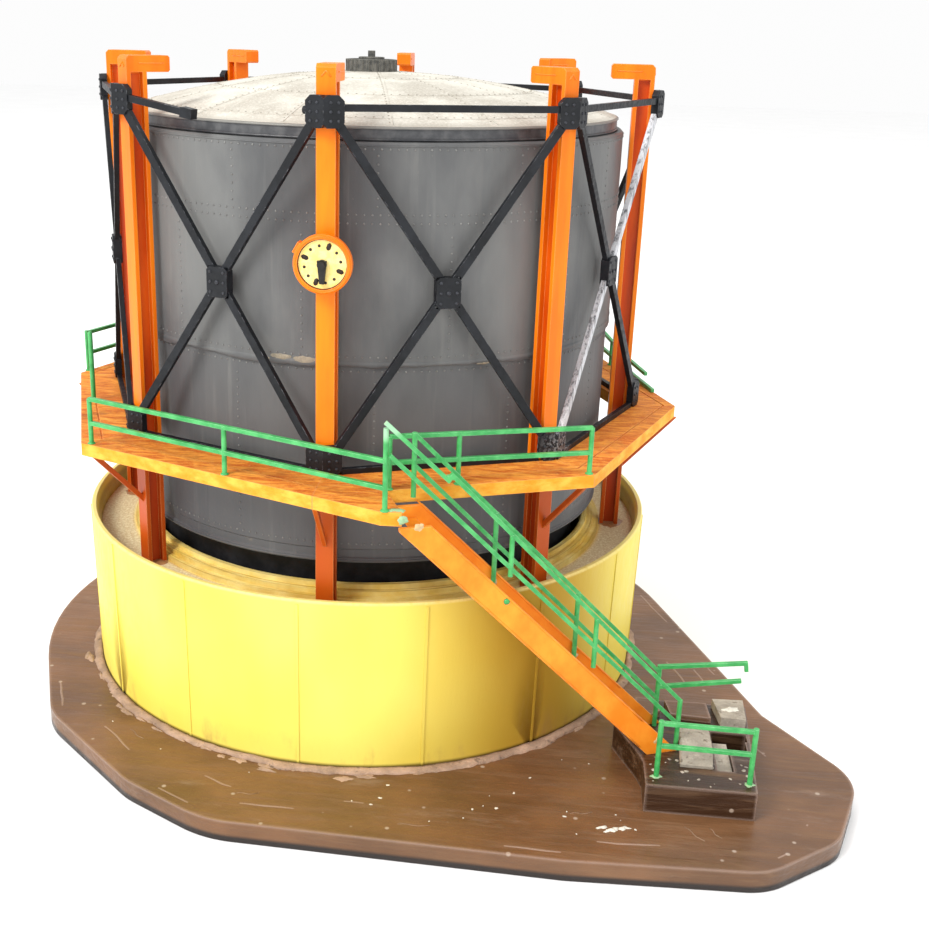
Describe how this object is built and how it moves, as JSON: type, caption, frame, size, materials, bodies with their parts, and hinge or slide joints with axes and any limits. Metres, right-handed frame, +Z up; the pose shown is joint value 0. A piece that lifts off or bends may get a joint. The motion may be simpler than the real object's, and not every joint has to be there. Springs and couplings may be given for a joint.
{
  "type": "model gas holder",
  "caption": "Model railway gas holder: riveted grey bell in a round cream basin, orange columns, black cross bracing, octagonal gallery with green handrails and a steep stair, on a brown board.",
  "frame": {"origin": "underside of the base board, on the axis of the basin and the bell", "axes": "+Z up along the axis of the bell, -Y towards the front column that carries the dial, +X towards the side with the stair foot"},
  "size_m": [0.2106, 0.1898, 0.1616],
  "materials": {
    "board_brown": "satin painted, brush strokes",
    "stone": "gritty, matt",
    "basin_cream": "satin moulded",
    "basin_inside": "gritty, matt",
    "mast_metal": "matt",
    "column_orange": "satin moulded",
    "deck_rust": "gritty, matt",
    "brace_black": "satin painted, worn",
    "stair_orange": "satin moulded",
    "rail_green": "satin moulded",
    "dial_paper": "matt",
    "pointer_black": "matt",
    "bell_grey": "satin painted, riveted",
    "bell_dark": "matt",
    "roof_cream": "gritty, matt",
    "crown_grey": "matt"
  },
  "bodies": {
    "frame": {"base_board": "board_brown", "bedding_ring": "stone", "basin_wall": "basin_cream", "basin_floor": "basin_inside", "basin_steps": "basin_inside", "guide_mast": "mast_metal", "column_0": "column_orange", "column_1": "column_orange", "column_2": "column_orange", "column_3": "column_orange", "column_4": "column_orange", "column_5": "column_orange", "column_6": "column_orange", "column_7": "column_orange", "deck_0": "deck_rust", "deck_1": "deck_rust", "deck_2": "deck_rust", "deck_3": "deck_rust", "deck_4": "deck_rust", "deck_5": "deck_rust", "deck_6": "deck_rust", "deck_7": "deck_rust", "landing": "deck_rust", "deck_struts": "column_orange", "braces_rising": "brace_black", "braces_falling": "brace_black", "cross_plates": "brace_black", "top_gussets": "brace_black", "foot_gussets": "brace_black", "top_ties": "brace_black", "foot_ties": "brace_black", "stringer_outer": "stair_orange", "stringer_inner": "stair_orange", "stair_treads": "stair_orange", "stair_rail_outer": "rail_green", "stair_rail_inner": "rail_green", "foot_block": "board_brown", "foot_slabs": "stone", "rear_slabs": "board_brown", "foot_rail": "rail_green", "rail_front_left": "rail_green", "rail_front_right": "rail_green", "rail_left": "rail_green", "rail_right": "rail_green", "rail_rear": "rail_green", "lone_post": "rail_green", "dial_case": "column_orange", "dial_face": "dial_paper", "dial_pin": "pointer_black"},
    "bell": {"upper_shell": "bell_grey", "lower_shell": "bell_grey", "bottom_lip": "bell_grey", "skirt": "bell_dark", "rim_band": "bell_grey", "roof": "roof_cream", "crown_ring": "crown_grey", "crown_cap": "crown_grey", "spider": "bell_dark"},
    "gauge_pointer": {"pointer": "pointer_black"}
  },
  "joints": [
    {"name": "bell_lift", "type": "slide", "parent": "frame", "child": "bell", "axis": [0, 0, 1], "range_m": [-0.0055, 0.0075]},
    {"name": "gauge_turn", "type": "hinge", "parent": "frame", "child": "gauge_pointer", "pos_m": [0, -0.0719, 0.1214], "axis": [0, -1, 0], "continuous": true}
  ]
}
